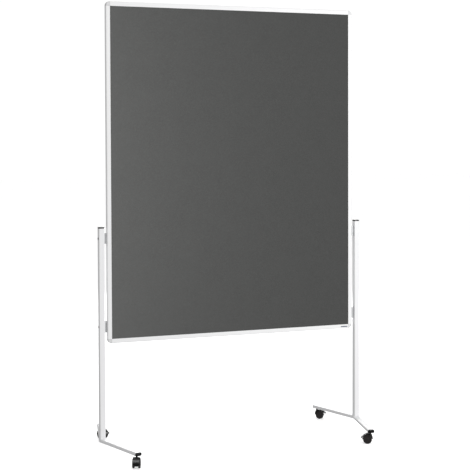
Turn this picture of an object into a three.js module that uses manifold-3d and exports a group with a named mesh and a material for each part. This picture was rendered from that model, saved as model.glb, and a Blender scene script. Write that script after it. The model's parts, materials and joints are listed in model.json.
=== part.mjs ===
// A mobile felt pinboard: a framed board held between two posts, each post on a pair of
// horizontal legs with twin-wheel braked casters. Millimetres, +Z up, the front faces -Y,
// and the origin is on the floor, under the middle of the whole object as it stands.
import * as THREE from 'three';
import { mergeVertices } from 'three/addons/utils/BufferGeometryUtils.js';
import Module from 'manifold-3d';

const wasm = await Module();
wasm.setup();

const GAP = 0.3; // clearance between pieces that touch

// The front casters trail forwards, so the middle of the footprint is in front of the board's.
const BOARD_BEHIND_MIDDLE = 14;

// Board
const FRAME_WIDTH = 1200;
const FRAME_HEIGHT = 1500;
const FRAME_BOTTOM = 486;
const RAIL_FACE = 20;
const RAIL_DEPTH = 20;
const RAIL_EDGE_RADIUS = 4.5;
const RAIL_WALL = 2.5;
const LIP = 1;
const CHANNEL_FLOOR = 12; // from the frame's outer edge to the bottom of the panel channel
const CORNER_RADIUS = 19;
const PANEL_IN_CHANNEL = 7; // how far the panel's edge sits inside the rails
const FELT_THICKNESS = 1.2;
const FELT_PRESSED = 0.3; // how much the rails' lips press into the felt's border
const FELT_FIELD_INSET = 1; // from the lips to the edge of the full thickness
const LABEL = { width: 34, height: 4.4, thickness: 0.3, fromEdge: 42 };

// Stands
const POST_SIZE = 25;
const POST_TOP = 1000; // top of the cap
const POST_X = 624.5;
const POST_WALL = 2;
const POST_EDGE_RADIUS = 2.5;
const POST_CAP_THICKNESS = 6;
const BRACKETS = { upper: { z: 949, height: 46 }, lower: { z: 560, height: 50 } };
const BRACKET_WEB_DEPTH = 10;
const BRACKET_FLANGE = { thickness: 3, depth: 16 };
const BOLT = { shank: 3, head: 5.5, headHeight: 2.4, clearance: 3.3 };

// Legs
const LEG_LIFT = 50; // underside of the legs above the floor
const LEG_WIDTH = 30;
const LEG_HEIGHT = 15;
const LEG_EDGE_RADIUS = 6.5;
const LEG_WALL = 2;
const LEG_SPREAD = THREE.MathUtils.degToRad(14); // how far each leg turns in under the board
const LEG_TO_STEM = 290; // from the post's axis to the caster's swivel axis
const LEG_TUBE = LEG_TO_STEM + 12;
const LEG_CAP_END = LEG_TO_STEM + 18;
const LEG_CAP_PLUG = 27;
const LEG_CAP_EDGE_RADIUS = 4;

// Casters, in a frame with the swivel axis at the origin and the wheels trailing along +X
const WHEEL_RADIUS = 20;
const WHEEL_WIDTH = 9;
const WHEEL_GAP = 16; // between the two wheels' inner faces
const TRAIL = 13;
const AXLE_RADIUS = 2;
const STEM_RADIUS = 4;
const CORE_WIDTH = 15.2;
const HOOD_WIDTH = 31;
const HOOD_RADIUS = 24;
const HOOD_LIFT = 2; // the hood's centre above the axle
const HOOD_SPAN = [64, 180]; // degrees, from the pedal back to the level of the axle
const FRONT_LIP_SPAN = [-6, 6];
const FENDER_INNER = 21.3;
const PEDAL_WIDTH = 29;
const PEDAL_PIVOT = { x: 11, z: 12.6 }; // from the axle
const PIN_RADIUS = 1.5;
const CASTERS = {
  front_left: { side: -1, end: -1, heading: -113 },
  front_right: { side: 1, end: -1, heading: 152 },
  rear_left: { side: -1, end: 1, heading: -57 },
  rear_right: { side: 1, end: 1, heading: -25 },
};

const paint = (color, roughness, metalness = 0) =>
  new THREE.MeshStandardMaterial({ color, roughness, metalness });
const MATERIALS = {
  frame: paint(0xe9e9eb, 0.35),
  corner: paint(0xdedfe1, 0.45),
  stand: paint(0xe4e4e7, 0.35),
  bracket: paint(0xc2c3c6, 0.4, 0.2),
  felt: paint(0x5e605e, 1),
  core: paint(0xa99a80, 0.9),
  cap: paint(0x101011, 0.45),
  blackened: paint(0x141415, 0.4, 0.6),
  hood: paint(0x161617, 0.3),
  wheel: paint(0x2a2829, 0.5),
  steel: paint(0xb9babd, 0.3, 1),
  label: paint(0x4b5468, 0.6),
};

// ---- solids -------------------------------------------------------------------------------

function solid(geometry) {
  const bare = geometry.clone();
  bare.deleteAttribute('normal');
  bare.deleteAttribute('uv');
  const merged = mergeVertices(bare, 1e-4);
  return new wasm.Manifold(new wasm.Mesh({
    numProp: 3,
    vertProperties: new Float32Array(merged.attributes.position.array),
    triVerts: new Uint32Array(merged.index.array),
  }));
}

function geometryOf(manifold) {
  const mesh = manifold.getMesh();
  const geometry = new THREE.BufferGeometry();
  geometry.setAttribute('position', new THREE.BufferAttribute(mesh.vertProperties, 3));
  geometry.setIndex(new THREE.BufferAttribute(mesh.triVerts, 1));
  geometry.computeVertexNormals();
  return geometry;
}

const box = (x0, x1, y0, y1, z0, z1) =>
  new THREE.BoxGeometry(x1 - x0, y1 - y0, z1 - z0)
    .translate((x0 + x1) / 2, (y0 + y1) / 2, (z0 + z1) / 2);

const extrude = (shape, depth, curveSegments = 4) =>
  new THREE.ExtrudeGeometry(shape, { depth, bevelEnabled: false, curveSegments });

function outline(points) {
  return new THREE.Shape(points.map(([x, y]) => new THREE.Vector2(x, y)));
}

function roundedRectangle(width, height, radius) {
  const x = width / 2 - radius;
  const y = height / 2 - radius;
  const shape = new THREE.Shape();
  shape.absarc(x, y, radius, 0, Math.PI / 2);
  shape.absarc(-x, y, radius, Math.PI / 2, Math.PI);
  shape.absarc(-x, -y, radius, Math.PI, Math.PI * 1.5);
  shape.absarc(x, -y, radius, Math.PI * 1.5, Math.PI * 2);
  return shape;
}

function tubeShape(width, height, radius, wall) {
  const shape = roundedRectangle(width, height, radius);
  shape.holes.push(roundedRectangle(width - 2 * wall, height - 2 * wall, radius - wall));
  return shape;
}

// A pie slice of a circle centred at (x, z), from one angle to another in degrees.
function pie(x, z, radius, from, to) {
  const start = THREE.MathUtils.degToRad(from);
  const shape = new THREE.Shape();
  shape.moveTo(x, z);
  shape.lineTo(x + radius * Math.cos(start), z + radius * Math.sin(start));
  shape.absarc(x, z, radius, start, THREE.MathUtils.degToRad(to));
  return shape;
}

function disc(x, z, radius) {
  const shape = new THREE.Shape();
  shape.absarc(x, z, radius, 0, Math.PI * 2);
  return shape;
}

// Stands a shape drawn in X and Z upright, and gives it a width across Y, centred on Y = 0.
const across = (shape, width, curveSegments) =>
  extrude(shape, width, curveSegments).rotateX(Math.PI / 2).translate(0, width / 2, 0);

// Lays a section drawn in Y and Z along X.
const alongX = (shape, length) =>
  extrude(shape, length).rotateY(Math.PI / 2).rotateX(Math.PI / 2);

const rodAlongX = (radius, x0, x1, segments = 16) =>
  new THREE.CylinderGeometry(radius, radius, x1 - x0, segments)
    .rotateZ(Math.PI / 2).translate((x0 + x1) / 2, 0, 0);

const lathe = (points, segments) =>
  new THREE.LatheGeometry(points.map(([r, h]) => new THREE.Vector2(r, h)), segments);

// ---- assembly helpers ---------------------------------------------------------------------

const pinboard = new THREE.Group();

function add(parent, name, geometry, material) {
  const mesh = new THREE.Mesh(geometry, material);
  mesh.name = name;
  parent.add(mesh);
  return mesh;
}

function place(parent, x, y, z) {
  const group = new THREE.Group();
  group.position.set(x, y, z);
  parent.add(group);
  return group;
}

// ---- board --------------------------------------------------------------------------------

// The rail's section: U runs in from the frame's outer edge and V through its depth.
function railSection(hollow) {
  const half = RAIL_DEPTH / 2;
  const r = RAIL_EDGE_RADIUS;
  const shape = new THREE.Shape();
  shape.moveTo(RAIL_FACE, -half);
  if (hollow) {
    shape.lineTo(RAIL_FACE, -half + LIP);
    shape.lineTo(CHANNEL_FLOOR, -half + LIP);
    shape.lineTo(CHANNEL_FLOOR, half - LIP);
    shape.lineTo(RAIL_FACE, half - LIP);
  }
  shape.lineTo(RAIL_FACE, half);
  shape.absarc(r, half - r, r, Math.PI / 2, Math.PI);
  shape.absarc(r, -half + r, r, Math.PI, Math.PI * 1.5);
  if (hollow) {
    shape.holes.push(outline([
      [RAIL_WALL, -half + RAIL_WALL],
      [CHANNEL_FLOOR - 2, -half + RAIL_WALL],
      [CHANNEL_FLOOR - 2, half - RAIL_WALL],
      [RAIL_WALL, half - RAIL_WALL],
    ]));
  }
  return shape;
}

// A bottom rail: U becomes +Z, V becomes Y, and the length is centred on X.
const lieAsBottomRail = (geometry, length) =>
  geometry.translate(0, 0, -length / 2)
    .applyMatrix4(new THREE.Matrix4().makeBasis(
      new THREE.Vector3(0, 0, 1), new THREE.Vector3(0, 1, 0), new THREE.Vector3(-1, 0, 0)));

function rail(span, boltHoles) {
  const length = span - 2 * RAIL_FACE - 2 * GAP;
  const geometry = lieAsBottomRail(extrude(railSection(true), length), length);
  if (boltHoles.length === 0) return geometry;
  let body = solid(geometry);
  for (const along of boltHoles) {
    const drill = rodAlongX(BOLT.clearance, -1, RAIL_WALL + 1).rotateY(-Math.PI / 2);
    body = body.subtract(solid(drill.translate(along, 0, 0)));
  }
  return geometryOf(body);
}

// A moulded corner at the bottom left, with its outer point at the origin and a tongue in
// each of the two rails that meet there.
function cornerPiece() {
  const half = RAIL_DEPTH / 2;
  const block = RAIL_FACE;
  const upright = extrude(railSection(false), block);
  const level = lieAsBottomRail(extrude(railSection(false), block), block)
    .translate(block / 2, 0, 0);
  const round = new THREE.Shape();
  round.moveTo(block, 0);
  round.lineTo(block, block);
  round.lineTo(0, block);
  round.absarc(CORNER_RADIUS, CORNER_RADIUS, CORNER_RADIUS, Math.PI, Math.PI * 1.5);
  const pocket = box(CHANNEL_FLOOR, block + 1, -half + LIP, half - LIP, CHANNEL_FLOOR, block + 1);
  const inset = RAIL_WALL + 2 * GAP;
  const tongueEnd = CHANNEL_FLOOR - 2 - 2 * GAP;
  const reach = block + 26;
  const levelTongue = box(block - 1, reach, -half + inset, half - inset, inset, tongueEnd);
  const uprightTongue = box(inset, tongueEnd, -half + inset, half - inset, block - 1, reach);
  return geometryOf(
    solid(upright)
      .intersect(solid(level))
      .intersect(solid(across(round, RAIL_DEPTH, 6)))
      .subtract(solid(pocket))
      .add(solid(levelTongue))
      .add(solid(uprightTongue)));
}

function addBoard() {
  const middle = FRAME_BOTTOM + FRAME_HEIGHT / 2;
  const boltHeights = Object.values(BRACKETS).map(({ z }) => z - middle);
  const edges = [
    ['bottom', 0, -FRAME_HEIGHT / 2, 0, FRAME_WIDTH, []],
    ['top', 0, FRAME_HEIGHT / 2, 180, FRAME_WIDTH, []],
    ['left', -FRAME_WIDTH / 2, 0, 90, FRAME_HEIGHT, boltHeights.map((h) => -h)],
    ['right', FRAME_WIDTH / 2, 0, -90, FRAME_HEIGHT, boltHeights],
  ];
  for (const [name, x, z, turn, span, holes] of edges) {
    const mesh = add(place(pinboard, x, 0, middle + z), `${name}_rail`, rail(span, holes),
      MATERIALS.frame);
    mesh.rotation.y = THREE.MathUtils.degToRad(turn);
  }
  const corners = [
    ['bottom_left', -1, -1, 0],
    ['top_left', -1, 1, 90],
    ['top_right', 1, 1, 180],
    ['bottom_right', 1, -1, -90],
  ];
  for (const [name, sx, sz, turn] of corners) {
    const group = place(pinboard, sx * FRAME_WIDTH / 2, 0, middle + sz * FRAME_HEIGHT / 2);
    const mesh = add(group, `${name}_corner`, cornerPiece(), MATERIALS.corner);
    mesh.rotation.y = THREE.MathUtils.degToRad(turn);
  }

  const inset = RAIL_FACE - PANEL_IN_CHANNEL;
  const width = FRAME_WIDTH - 2 * inset;
  const height = FRAME_HEIGHT - 2 * inset;
  const feltFace = RAIL_DEPTH / 2 - LIP - GAP;
  const feltBack = feltFace - FELT_THICKNESS;
  const coreHalf = feltBack - GAP;
  const panel = place(pinboard, 0, 0, middle);
  const slab = (border, y0, y1) =>
    box(border - width / 2, width / 2 - border, y0, y1, border - height / 2, height / 2 - border);
  add(panel, 'core_panel', slab(0, -coreHalf, coreHalf), MATERIALS.core);
  const pressedFace = feltFace - FELT_PRESSED;
  const border = PANEL_IN_CHANNEL + FELT_FIELD_INSET;
  const felt = geometryOf(
    solid(slab(0, -pressedFace, -feltBack)).add(solid(slab(border, -feltFace, -feltBack - GAP))));
  add(panel, 'front_felt', felt, MATERIALS.felt);
  add(panel, 'rear_felt', felt.clone().rotateZ(Math.PI), MATERIALS.felt);

  const label = new THREE.BoxGeometry(LABEL.width, LABEL.thickness, LABEL.height);
  const labelX = FRAME_WIDTH / 2 - LABEL.fromEdge;
  const labelY = -RAIL_DEPTH / 2 - GAP - LABEL.thickness / 2;
  add(place(pinboard, labelX, labelY, FRAME_BOTTOM + RAIL_FACE / 2), 'blank_label', label,
    MATERIALS.label);
}

// ---- stands -------------------------------------------------------------------------------

function post() {
  const bottom = LEG_LIFT + LEG_HEIGHT + GAP;
  const top = POST_TOP - POST_CAP_THICKNESS - GAP;
  const tube = tubeShape(POST_SIZE, POST_SIZE, POST_EDGE_RADIUS, POST_WALL);
  let body = solid(extrude(tube, top - bottom, 3).translate(0, 0, bottom));
  for (const { z } of Object.values(BRACKETS)) {
    body = body.subtract(solid(rodAlongX(BOLT.clearance, -POST_SIZE, POST_SIZE).translate(0, 0, z)));
  }
  return geometryOf(body);
}

function postCap() {
  const plug = POST_SIZE - 2 * POST_WALL - 2 * GAP;
  const lid = roundedRectangle(POST_SIZE, POST_SIZE, POST_EDGE_RADIUS);
  const domed = new THREE.ExtrudeGeometry(lid, {
    depth: POST_CAP_THICKNESS - 1.6,
    bevelThickness: 0.8, bevelSize: 1, bevelOffset: -1, bevelSegments: 1, curveSegments: 3,
  }).translate(0, 0, POST_TOP - POST_CAP_THICKNESS + 0.8);
  const below = box(-plug / 2, plug / 2, -plug / 2, plug / 2, POST_TOP - 17, POST_TOP - 2);
  return geometryOf(solid(domed).add(solid(below)));
}

// A bracket's T section, with the flange against the frame at the end of +X.
function bracket(height) {
  const width = POST_X - POST_SIZE / 2 - FRAME_WIDTH / 2 - 2 * GAP;
  const web = BRACKET_WEB_DEPTH / 2;
  const flange = BRACKET_FLANGE.depth / 2;
  const step = width - BRACKET_FLANGE.thickness;
  const section = outline([
    [0, -web], [step, -web], [step, -flange], [width, -flange],
    [width, flange], [step, flange], [step, web], [0, web],
  ]);
  const body = solid(extrude(section, height).translate(0, 0, -height / 2));
  return geometryOf(body.subtract(solid(rodAlongX(BOLT.clearance, -1, width + 1))));
}

// The bolt comes in from the post's outer face and ends inside the frame's side rail.
function bolt() {
  const seat = -POST_SIZE / 2 - GAP;
  const tip = POST_X - FRAME_WIDTH / 2 + CHANNEL_FLOOR / 2;
  const head = BOLT.headHeight;
  return lathe([
    [0, seat - head], [BOLT.head * 0.7, seat - head], [BOLT.head, seat - head * 0.5],
    [BOLT.head, seat], [BOLT.shank, seat], [BOLT.shank, tip - 1], [BOLT.shank - 1, tip], [0, tip],
  ], 16).rotateZ(-Math.PI / 2);
}

// Where the stem comes up into the leg, as high as given above the leg's underside.
const stemHole = (height) =>
  solid(new THREE.CylinderGeometry(STEM_RADIUS + GAP, STEM_RADIUS + GAP, height + 1, 16)
    .rotateX(Math.PI / 2).translate(LEG_TO_STEM, 0, (height - 1 - LEG_HEIGHT) / 2));

function leg(turn) {
  const tube = alongX(tubeShape(LEG_WIDTH, LEG_HEIGHT, LEG_EDGE_RADIUS, LEG_WALL), 1);
  const position = tube.attributes.position;
  for (let i = 0; i < position.count; i += 1) {
    // The near end is cut along the mitre between the two legs, the far end square.
    const mitre = GAP / 2 - position.getY(i) * turn * Math.tan(LEG_SPREAD);
    position.setX(i, position.getX(i) > 0.5 ? LEG_TUBE : mitre);
  }
  return geometryOf(solid(tube).subtract(stemHole(LEG_WALL + 1)));
}

// A cap that closes the leg, with a plug inside the tube that takes the stem.
function legCap() {
  const start = LEG_TUBE + GAP;
  const reach = LEG_CAP_END - start;
  const oval = roundedRectangle(LEG_WIDTH, LEG_HEIGHT, LEG_EDGE_RADIUS);
  const nose = new THREE.Shape();
  const r = LEG_CAP_EDGE_RADIUS;
  nose.moveTo(start, LEG_WIDTH / 2);
  nose.lineTo(start, -LEG_WIDTH / 2);
  nose.absarc(LEG_CAP_END - r, -LEG_WIDTH / 2 + r, r, -Math.PI / 2, 0);
  nose.absarc(LEG_CAP_END - r, LEG_WIDTH / 2 - r, r, 0, Math.PI / 2);
  const plugHeight = LEG_HEIGHT - 2 * LEG_WALL - 2 * GAP;
  const plugWidth = LEG_WIDTH - 2 * LEG_WALL - 2 * GAP;
  const section = roundedRectangle(plugWidth, plugHeight, LEG_EDGE_RADIUS - LEG_WALL);
  const plug = alongX(section, LEG_CAP_PLUG + 1).translate(start - LEG_CAP_PLUG, 0, 0);
  return geometryOf(
    solid(alongX(oval, reach).translate(start, 0, 0))
      .intersect(solid(extrude(nose, LEG_HEIGHT, 4).translate(0, 0, -LEG_HEIGHT / 2)))
      .add(solid(plug))
      .subtract(stemHole(11.5)));
}

function addStands() {
  for (const [name, side] of [['left', -1], ['right', 1]]) {
    const stand = place(pinboard, side * POST_X, 0, 0);
    add(stand, `${name}_post`, post(), MATERIALS.stand);
    add(stand, `${name}_post_cap`, postCap(), MATERIALS.cap);
    for (const [level, { z, height }] of Object.entries(BRACKETS)) {
      const facing = place(stand, 0, 0, z);
      facing.rotation.z = side > 0 ? Math.PI : 0;
      const seat = place(facing, POST_SIZE / 2 + GAP, 0, 0);
      add(seat, `${level}_${name}_bracket`, bracket(height), MATERIALS.bracket);
      add(facing, `${level}_${name}_bolt`, bolt(), MATERIALS.steel);
    }
  }
}

// ---- casters ------------------------------------------------------------------------------

// Everything below the stem is drawn from the axle's centre.
function housing() {
  const core = across(disc(0, 0, WHEEL_RADIUS), CORE_WIDTH, 40);
  const floorCut = box(-30, 30, -10, 10, -30, -WHEEL_RADIUS / 2);
  const band = (from, to, width, segments) =>
    solid(across(pie(0, HOOD_LIFT, HOOD_RADIUS, from, to), width, segments));
  const hollow = solid(across(disc(0, 0, FENDER_INNER), HOOD_WIDTH + 2, 40));
  const ring = (width) =>
    band(...HOOD_SPAN, width, 16).add(band(...FRONT_LIP_SPAN, width, 3));
  const collar = new THREE.CylinderGeometry(6, 7.5, 14, 20)
    .rotateX(Math.PI / 2).translate(-TRAIL, 0, 16.5);
  const socket = new THREE.CylinderGeometry(STEM_RADIUS + GAP, STEM_RADIUS + GAP, 30, 16)
    .rotateX(Math.PI / 2).translate(-TRAIL, 0, 19);
  const lever = across(outline([[7.2, 9.5], [14.8, 9.5], [21, 22], [10.2, 22.4]]), 6.8);
  const knuckle = across(disc(PEDAL_PIVOT.x, PEDAL_PIVOT.z, 3.8), 6.8, 16);
  const pin = across(disc(PEDAL_PIVOT.x, PEDAL_PIVOT.z, PIN_RADIUS), 8, 10);
  const axleBore = across(disc(0, 0, AXLE_RADIUS + GAP), CORE_WIDTH + 2, 12);
  return geometryOf(
    solid(core)
      .subtract(solid(floorCut))
      .add(ring(CORE_WIDTH)).add(ring(HOOD_WIDTH).subtract(hollow)).add(solid(collar))
      .subtract(solid(socket)).subtract(solid(axleBore))
      .subtract(solid(lever)).subtract(solid(knuckle))
      .add(solid(pin)));
}

function pedal() {
  const plate = across(outline([
    [11.3, 23.3], [12.2, 19.2], [16.9, 14.2], [19.4, 9.6], [23.6, 9.6], [28.6, 5.4],
    [30.8, 6.4], [31.2, 8.6],
  ]), PEDAL_WIDTH);
  const arm = across(outline([[8.4, 13.6], [13.6, 11.4], [18, 16], [13, 20]]), 6);
  const knuckle = across(disc(PEDAL_PIVOT.x, PEDAL_PIVOT.z, 3.2), 6, 16);
  const hole = across(disc(PEDAL_PIVOT.x, PEDAL_PIVOT.z, PIN_RADIUS + GAP), 8, 10);
  return geometryOf(
    solid(plate).add(solid(arm)).add(solid(knuckle)).subtract(solid(hole)));
}

function wheel() {
  const w = WHEEL_WIDTH;
  const r = WHEEL_RADIUS;
  return lathe([
    [0, w - 2], [AXLE_RADIUS + GAP, w - 2], [AXLE_RADIUS + GAP, 0], [5, 0], [5.5, 2.5],
    [r - 3.5, 2.5], [r - 3, 0.3], [r - 1.2, 0.3], [r, 1.8], [r, w - 1.8], [r - 1.6, w],
    [0, w],
  ], 28);
}

function stem() {
  const low = LEG_LIFT - 24;
  const high = LEG_LIFT + 11;
  const flange = LEG_LIFT - GAP;
  return lathe([
    [0, low], [STEM_RADIUS, low], [STEM_RADIUS, flange - 2.1], [5.8, flange - 2.1],
    [5.8, flange], [STEM_RADIUS, flange], [STEM_RADIUS, high], [0, high],
  ], 16).rotateX(Math.PI / 2);
}

function addLegsAndCasters() {
  for (const [name, { side, end, heading }] of Object.entries(CASTERS)) {
    const base = place(pinboard, side * POST_X, 0, LEG_LIFT + LEG_HEIGHT / 2);
    const direction = new THREE.Vector2(-side * Math.sin(LEG_SPREAD), end * Math.cos(LEG_SPREAD));
    base.rotation.z = direction.angle();
    add(base, `${name}_leg`, leg(-side * end), MATERIALS.stand);
    add(base, `${name}_leg_cap`, legCap(), MATERIALS.cap);

    const foot = place(pinboard, side * POST_X + direction.x * LEG_TO_STEM,
      direction.y * LEG_TO_STEM, 0);
    add(foot, `${name}_stem`, stem(), MATERIALS.blackened);
    const swivel = place(foot, 0, 0, 0);
    swivel.rotation.z = THREE.MathUtils.degToRad(heading);
    const axleFrame = place(swivel, TRAIL, 0, WHEEL_RADIUS);
    add(axleFrame, `${name}_housing`, housing(), MATERIALS.hood);
    add(axleFrame, `${name}_pedal`, pedal(), MATERIALS.hood);
    const axle = new THREE.CylinderGeometry(AXLE_RADIUS, AXLE_RADIUS, WHEEL_GAP + 13, 12);
    add(axleFrame, `${name}_axle`, axle, MATERIALS.steel);
    for (const [letter, turn] of [['a', 0], ['b', Math.PI]]) {
      const half = place(axleFrame, 0, 0, 0);
      half.rotation.x = turn;
      const seat = place(half, 0, WHEEL_GAP / 2, 0);
      add(seat, `${name}_wheel_${letter}`, wheel(), MATERIALS.wheel);
    }
  }
}

addBoard();
addStands();
addLegsAndCasters();
pinboard.position.y = BOARD_BEHIND_MIDDLE;

export default pinboard;
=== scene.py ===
import json
import math

import bmesh
import bpy
from mathutils import Matrix, Vector, noise


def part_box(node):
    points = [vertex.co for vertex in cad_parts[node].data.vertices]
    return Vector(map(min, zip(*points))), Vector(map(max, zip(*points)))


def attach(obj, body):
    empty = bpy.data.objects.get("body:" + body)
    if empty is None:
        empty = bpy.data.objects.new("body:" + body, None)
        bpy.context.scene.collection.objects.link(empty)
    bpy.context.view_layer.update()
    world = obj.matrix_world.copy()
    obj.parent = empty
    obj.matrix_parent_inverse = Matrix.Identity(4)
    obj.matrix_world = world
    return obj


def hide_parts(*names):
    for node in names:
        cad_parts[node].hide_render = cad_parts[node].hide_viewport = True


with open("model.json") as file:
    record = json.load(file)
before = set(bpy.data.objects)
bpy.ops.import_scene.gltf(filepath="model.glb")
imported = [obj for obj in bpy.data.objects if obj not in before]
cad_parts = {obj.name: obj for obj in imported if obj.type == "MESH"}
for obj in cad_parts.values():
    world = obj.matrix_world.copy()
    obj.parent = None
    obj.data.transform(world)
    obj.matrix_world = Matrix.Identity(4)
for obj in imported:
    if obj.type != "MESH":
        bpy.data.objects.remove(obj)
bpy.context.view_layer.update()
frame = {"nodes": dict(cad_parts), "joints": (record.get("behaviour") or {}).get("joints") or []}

# A mobile felt pinboard: a white framed board between two posts, on splayed legs with
# twin-wheel braked casters. Shapes are drawn in millimetres and scaled when they are placed.

MM = 0.001
FIXED = "board_and_stands"
ACROSS = Vector((1, 0, 0))
DEPTH = Vector((0, 1, 0))
UP = Vector((0, 0, 1))
SAME_POINT = 1e-4  # points of a drawing nearer than this are merged

# Board, in millimetres
RAIL_FACE = 20
RAIL_HALF_DEPTH = 10
RAIL_EDGE_RADIUS = 4.5
RAIL_WALL = 2.5
LIP = 1
CHANNEL_FLOOR = 12
TONGUE_LENGTH = 26
FELT_THICKNESS = 1.2
FELT_CELLS = (84, 104)
FELT_UNEVENNESS = 0.14
FELT_WAVE = (170, 230)  # the width and height of its broad waves
FELT_RIPPLE = 60
FELT_PRESSED = 0.3
FELT_BORDER = 8
FELT_STEP = 1.6  # the slope between the pressed border and the field
FELT_FADE = 40  # how far from the border the unevenness grows to its full height

# Stands
POST_SIZE = 25
POST_EDGE_RADIUS = 2.5
POST_WALL = 2
POST_BEAD = 1.5
POST_CAP_LID = 6
POST_CAP_DEPTH = 17
BRACKET_WEB = 5  # half of the web's width
BRACKET_FLANGE = (3, 8)  # its thickness, and half of its width
BOLT_SHANK = 3
BOLT_THREAD = 22
BOLT_HEAD = 5.5
BOLT_HEAD_HEIGHT = 2.4
BOLT_HOLE = 3.3
SOCKET_RADIUS = 2.3
LEG_SIZE = (30, 15)
LEG_EDGE_RADIUS = 6.5
LEG_WALL = 2
LEG_TUBE_PAST_STEM = 12
LEG_CAP_PAST_STEM = 18
LEG_CAP_PLUG = 27
LEG_CAP_EDGE = 4
LEG_CAP_DOME = 0.7
LEG_BEAD = 1.1
STEM_BORE_IN_CAP = 11.5
PLUG_PLAY = 0.6  # between a cap's plug and the inside of its tube, over both sides

# Casters, drawn about the axle with X pointing away from the stem. Spans are in degrees about
# the axle, from X upwards.
WHEEL_RADIUS = 20
WHEEL_WIDTH = 9
WHEEL_GAP = 16
AXLE_RADIUS = 2
AXLE_LENGTH = 29
STEM_RADIUS = 4
STEM_FLANGE = 23.7  # from the stem's lower end to the flange's top
STEM_SOCKET = (-2, 32)  # its two ends, above the axle
BORE_PLAY = 0.3  # between a pin and its bore
TRAIL = 13
CORE_WIDTH = 15.2
CORE_SPAN = (-30, 210)
HOOD_WIDTH = 31
HOOD_RADIUS = 24
HOOD_LIFT = 2
HOOD_EDGE = 2.6
HOOD_SPAN = (64, 180)
FRONT_LIP_SPAN = (-6, 6)
FENDER_INNER = 21.3
PEDAL_WIDTH = 29
PEDAL_PIVOT = (11, 12.6)
PEDAL_PIN = 1.5
PEDAL_ARM_WIDTH = 6
PEDAL_SLOT_WIDTH = 6.8
PEDAL_HOLLOW = 1.3
PEDAL_RIB = 0.35
PEDAL_RIBS = 9  # that would fill the whole length
PEDAL_RIBBED = (0.04, 0.36)  # the part of its length that has ribs


# ---- outlines -------------------------------------------------------------------------------

def fillet(points, radii, steps=5):
    """A closed outline, each corner rounded to its own radius. A radius of 0 keeps it sharp."""
    rounded = []
    for i, (point, radius) in enumerate(zip(points, radii)):
        corner = Vector(point)
        if radius == 0:
            rounded.append(corner)
            continue
        before = (Vector(points[i - 1]) - corner).normalized()
        after = (Vector(points[(i + 1) % len(points)]) - corner).normalized()
        half = before.angle(after) / 2
        centre = corner + (before + after).normalized() * radius / math.sin(half)
        start = corner + before * radius / math.tan(half) - centre
        end = corner + after * radius / math.tan(half) - centre
        first = math.atan2(start.y, start.x)
        sweep = math.atan2(end.y, end.x) - first
        sweep = (sweep + math.pi) % (2 * math.pi) - math.pi
        for s in range(steps + 1):
            angle = first + sweep * s / steps
            rounded.append(centre + radius * Vector((math.cos(angle), math.sin(angle))))
    return rounded


def rounded_rectangle(width, height, radius, steps=5):
    x, y = width / 2, height / 2
    return fillet([(x, -y), (x, y), (-x, y), (-x, -y)], [radius] * 4, steps)


def on_circle(degrees, radius=1):
    angle = math.radians(degrees)
    return Vector((radius * math.cos(angle), radius * math.sin(angle)))


def circle(radius, steps, centre=(0, 0)):
    return [Vector(centre) + on_circle(360 * i / steps, radius) for i in range(steps)]


# ---- solids ---------------------------------------------------------------------------------

def bridge(bm, low, high):
    for i in range(len(low)):
        bm.faces.new((low[i - 1], low[i], high[i], high[i - 1]))


def prism(loops, low, high):
    """Outlines in X and Y, the outer one first and then its holes, drawn out along Z."""
    bm = bmesh.new()
    levels = []
    for height in (low, high):
        rings = [[bm.verts.new((x, y, height)) for x, y in loop] for loop in loops]
        edges = [bm.edges.new((ring[i - 1], ring[i])) for ring in rings for i in range(len(ring))]
        if len(rings) == 1:
            bm.faces.new(rings[0])
        else:
            bmesh.ops.triangle_fill(bm, use_beauty=True, use_dissolve=False, edges=edges)
        levels.append(rings)
    for bottom, top in zip(*levels):
        bridge(bm, bottom, top)
    return bm


def stack(rings, closed=False):
    """A skin over rings of equally many points, capped at both ends or joined end to end."""
    bm = bmesh.new()
    made = [[bm.verts.new(point) for point in ring] for ring in rings]
    for low, high in zip(made, made[1:]):
        bridge(bm, low, high)
    if closed:
        bridge(bm, made[-1], made[0])
    else:
        bm.faces.new(made[0])
        bm.faces.new(made[-1])
    return bm


def lathe(profile, steps=48):
    """A profile of (radius, height) points turned about Z. It starts and ends on the axis."""
    bm = bmesh.new()
    bottom = bm.verts.new((0, 0, profile[0][1]))
    top = bm.verts.new((0, 0, profile[-1][1]))
    rings = [
        [bm.verts.new((x, y, height)) for x, y in circle(radius, steps)]
        for radius, height in profile[1:-1]
    ]
    for low, high in zip(rings, rings[1:]):
        bridge(bm, low, high)
    for i in range(steps):
        bm.faces.new((bottom, rings[0][i - 1], rings[0][i]))
        bm.faces.new((top, rings[-1][i - 1], rings[-1][i]))
    return bm


def rod(radius, low, high, steps):
    """A plain round rod along Z, for pins and for cutting bores."""
    return lathe([(0, low), (radius, low), (radius, high), (0, high)], steps)


def turned(bm, angle, axis):
    bmesh.ops.transform(bm, matrix=Matrix.Rotation(math.radians(angle), 4, axis), verts=bm.verts)
    return bm


def moved(bm, x, y, z):
    bmesh.ops.translate(bm, vec=(x, y, z), verts=bm.verts)
    return bm


def across(loops, width):
    """An outline in X and Z, as wide as given across Y."""
    return turned(prism(loops, -width / 2, width / 2), 90, "X")


def along_x(bm):
    """Turns a solid drawn along Z to lie along X: its X becomes Y, and its Y becomes Z."""
    cycle = Matrix(((0, 0, 1, 0), (1, 0, 0, 0), (0, 1, 0, 0), (0, 0, 0, 1)))
    bmesh.ops.transform(bm, matrix=cycle, verts=bm.verts)
    return bm


def together(*solids):
    """Several closed solids in one mesh."""
    joined = bmesh.new()
    for bm in solids:
        mesh = bpy.data.meshes.new("part")
        bm.to_mesh(mesh)
        bm.free()
        joined.from_mesh(mesh)
        bpy.data.meshes.remove(mesh)
    return joined


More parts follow.
